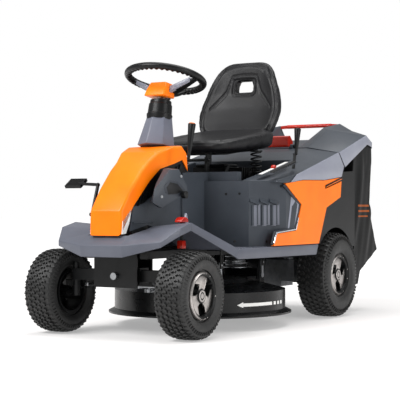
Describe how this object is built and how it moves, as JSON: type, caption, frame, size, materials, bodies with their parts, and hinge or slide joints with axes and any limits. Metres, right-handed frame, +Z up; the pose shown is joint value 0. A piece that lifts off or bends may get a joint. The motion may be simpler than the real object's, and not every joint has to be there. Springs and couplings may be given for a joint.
{
  "type": "ride-on lawn mower",
  "caption": "Compact ride-on lawn mower with a round cutting deck, bonnet, steering column, sprung seat, fenders and a tipping rear grass collector.",
  "frame": {"origin": "on the ground, at the middle of the machine's length and width", "axes": "+X to the driver's left, +Y to the rear, +Z up"},
  "size_m": [0.74, 1.7734, 1.109],
  "materials": {
    "dark_steel": "satin black powder coat",
    "zinc": "zinc plated",
    "rim_silver": "satin silver",
    "tyre_rubber": "black turf tyre",
    "cast": "cast housing",
    "alloy": "die cast",
    "belt_rubber": "ribbed rubber",
    "black_plastic": "grained black",
    "tank_plastic": "translucent blow moulding",
    "deck_paint": "gloss black enamel",
    "blade_steel": "ground edge",
    "fender_grey": "satin grey moulding",
    "body_grey": "dark grey moulding",
    "orange": "gloss orange moulding",
    "lamp": "pale lens",
    "vinyl": "black seat vinyl",
    "bag_cloth": "woven black polyester",
    "red_plastic": "red moulding"
  },
  "bodies": {
    "chassis": {"chassis_frame": "dark_steel", "axle_pivot_bolt": "zinc", "steering_gearbox": "cast", "transaxle": "alloy", "drive_belt": "belt_rubber", "engine_block": "alloy", "engine_cowl": "black_plastic", "muffler": "cast", "fuel_tank": "tank_plastic", "battery": "black_plastic", "discharge_chute": "black_plastic", "rear_bulkhead": "black_plastic", "footboard": "fender_grey", "body_shell": "body_grey", "side_panels": "orange", "rear_fender": "fender_grey", "hood": "orange", "vent_grilles": "black_plastic", "headlights": "lamp", "dash_shroud": "body_grey", "column_cover": "fender_grey", "seat_springs": "zinc"},
    "front_axle": {"front_axle_beam": "dark_steel"},
    "left_knuckle": {"knuckle_left": "dark_steel"},
    "right_knuckle": {"knuckle_right": "dark_steel"},
    "cross_rod": {"tie_rod": "zinc"},
    "steering_link": {"drag_link": "zinc"},
    "gearbox_arm": {"pitman_arm": "zinc"},
    "steering_column": {"steering_shaft": "zinc", "steering_wheel": "black_plastic", "steering_hub_cap": "orange"},
    "front_wheel_left": {"front_rim_left": "rim_silver", "front_tyre_left": "tyre_rubber"},
    "front_wheel_right": {"front_rim_right": "rim_silver", "front_tyre_right": "tyre_rubber"},
    "rear_wheel_left": {"rear_rim_left": "rim_silver", "rear_tyre_left": "tyre_rubber", "half_shaft_left": "zinc"},
    "rear_wheel_right": {"rear_rim_right": "rim_silver", "rear_tyre_right": "tyre_rubber", "half_shaft_right": "zinc"},
    "input_pulley": {"transaxle_pulley": "zinc"},
    "crankshaft": {"crank_pulleys": "zinc"},
    "deck": {"deck_shell": "deck_paint", "deck_links": "zinc", "cutter_belt": "belt_rubber"},
    "cutter": {"blade": "blade_steel", "blade_spindle": "zinc"},
    "blade_lever": {"pto_lever": "black_plastic"},
    "lift_lever": {"height_lever": "black_plastic"},
    "pedal": {"brake_pedal": "black_plastic"},
    "park_lock": {"parking_knob": "red_plastic"},
    "throttle": {"throttle_lever": "black_plastic"},
    "key": {"ignition_key": "black_plastic"},
    "driver_seat": {"seat": "vinyl", "seat_bracket": "dark_steel"},
    "collector": {"grass_bag": "bag_cloth", "bag_frame": "dark_steel", "collector_lid": "fender_grey", "rear_handle": "red_plastic"}
  },
  "joints": [
    {"name": "axle_swing", "type": "hinge", "parent": "chassis", "child": "front_axle", "pos_m": [0, -0.72825, 0.222], "axis": [0, 1, 0], "range_deg": [-7, 7]},
    {"name": "steering_turn", "type": "hinge", "parent": "chassis", "child": "steering_column", "pos_m": [0, -0.44025, 0.972], "axis": [0, 0.2538, 0.9673], "range_deg": [-105, 105]},
    {"name": "left_knuckle_turn", "type": "hinge", "parent": "front_axle", "child": "left_knuckle", "pos_m": [0.215, -0.72825, 0.2], "axis": [0, 0, 1], "range_deg": [-30.2, 30.2]},
    {"name": "right_knuckle_turn", "type": "hinge", "parent": "front_axle", "child": "right_knuckle", "pos_m": [-0.215, -0.72825, 0.2], "axis": [0, 0, 1], "range_deg": [-30.2, 30.2]},
    {"name": "gearbox_arm_turn", "type": "hinge", "parent": "chassis", "child": "gearbox_arm", "pos_m": [0, -0.62425, 0.3], "axis": [0, 0, 1], "range_deg": [-30.2, 30.2]},
    {"name": "cross_rod_turn", "type": "hinge", "parent": "left_knuckle", "child": "cross_rod", "pos_m": [0.215, -0.65825, 0.1665], "axis": [0, 0, 1], "range_deg": [-30.2, 30.2]},
    {"name": "steering_link_turn", "type": "hinge", "parent": "left_knuckle", "child": "steering_link", "pos_m": [0.215, -0.65825, 0.1665], "axis": [0, 0, 1], "range_deg": [-30.2, 30.2]},
    {"name": "front_left_spin", "type": "hinge", "parent": "left_knuckle", "child": "front_wheel_left", "pos_m": [0.2875, -0.72825, 0.1585], "axis": [1, 0, 0], "continuous": true},
    {"name": "front_right_spin", "type": "hinge", "parent": "right_knuckle", "child": "front_wheel_right", "pos_m": [-0.2875, -0.72825, 0.1585], "axis": [1, 0, 0], "continuous": true},
    {"name": "rear_left_spin", "type": "hinge", "parent": "chassis", "child": "rear_wheel_left", "pos_m": [0.2955, 0.40175, 0.182], "axis": [1, 0, 0], "continuous": true},
    {"name": "rear_right_spin", "type": "hinge", "parent": "chassis", "child": "rear_wheel_right", "pos_m": [-0.2955, 0.40175, 0.182], "axis": [1, 0, 0], "continuous": true},
    {"name": "crank_spin", "type": "hinge", "parent": "chassis", "child": "crankshaft", "pos_m": [0.084, -0.03825, 0.262], "axis": [0, 0, 1], "continuous": true},
    {"name": "input_spin", "type": "hinge", "parent": "chassis", "child": "input_pulley", "pos_m": [0.136, 0.35675, 0.262], "axis": [0, 0, 1], "continuous": true},
    {"name": "deck_lift", "type": "slide", "parent": "chassis", "child": "deck", "axis": [0, 0, 1], "range_m": [0, 0.035], "deforming": ["cutter_belt"]},
    {"name": "cutter_spin", "type": "hinge", "parent": "deck", "child": "cutter", "pos_m": [0, -0.18125, 0.15], "axis": [0, 0, 1], "continuous": true},
    {"name": "lift_lever_swing", "type": "hinge", "parent": "chassis", "child": "lift_lever", "pos_m": [0.3, 0.04775, 0.56], "axis": [1, 0, 0], "range_deg": [0, 22]},
    {"name": "blade_lever_swing", "type": "hinge", "parent": "chassis", "child": "blade_lever", "pos_m": [0.186, -0.59725, 0.52], "axis": [1, 0, 0], "range_deg": [0, 30]},
    {"name": "pedal_press", "type": "hinge", "parent": "chassis", "child": "pedal", "pos_m": [-0.15, -0.65325, 0.446], "axis": [1, 0, 0], "range_deg": [0, 22]},
    {"name": "park_lock_pull", "type": "slide", "parent": "chassis", "child": "park_lock", "axis": [0, 0, 1], "range_m": [0, 0.018]},
    {"name": "throttle_swing", "type": "hinge", "parent": "chassis", "child": "throttle", "pos_m": [-0.3, -0.00425, 0.588], "axis": [1, 0, 0], "range_deg": [-14, 14]},
    {"name": "key_turn", "type": "hinge", "parent": "chassis", "child": "key", "pos_m": [-0.3, -0.08825, 0.6], "axis": [0, 0, 1], "range_deg": [-80, 0]},
    {"name": "seat_tilt", "type": "hinge", "parent": "chassis", "child": "driver_seat", "pos_m": [0, -0.28825, 0.66], "axis": [1, 0, 0], "range_deg": [0, 45]},
    {"name": "collector_tip", "type": "hinge", "parent": "chassis", "child": "collector", "pos_m": [0, 0.39475, 0.742], "axis": [1, 0, 0], "range_deg": [0, 75]}
  ],
  "couplings": [
    {"joint": "left_knuckle_turn", "follows": "steering_turn", "ratio": 0.28571},
    {"joint": "right_knuckle_turn", "follows": "steering_turn", "ratio": 0.28571},
    {"joint": "gearbox_arm_turn", "follows": "steering_turn", "ratio": 0.28571},
    {"joint": "cross_rod_turn", "follows": "steering_turn", "ratio": -0.28571},
    {"joint": "steering_link_turn", "follows": "steering_turn", "ratio": -0.28571},
    {"joint": "lift_lever_swing", "follows": "deck_lift", "rad_per_m": 10.96},
    {"joint": "input_spin", "follows": "crank_spin", "ratio": 0.76},
    {"joint": "cutter_spin", "follows": "crank_spin", "ratio": 0.75}
  ]
}
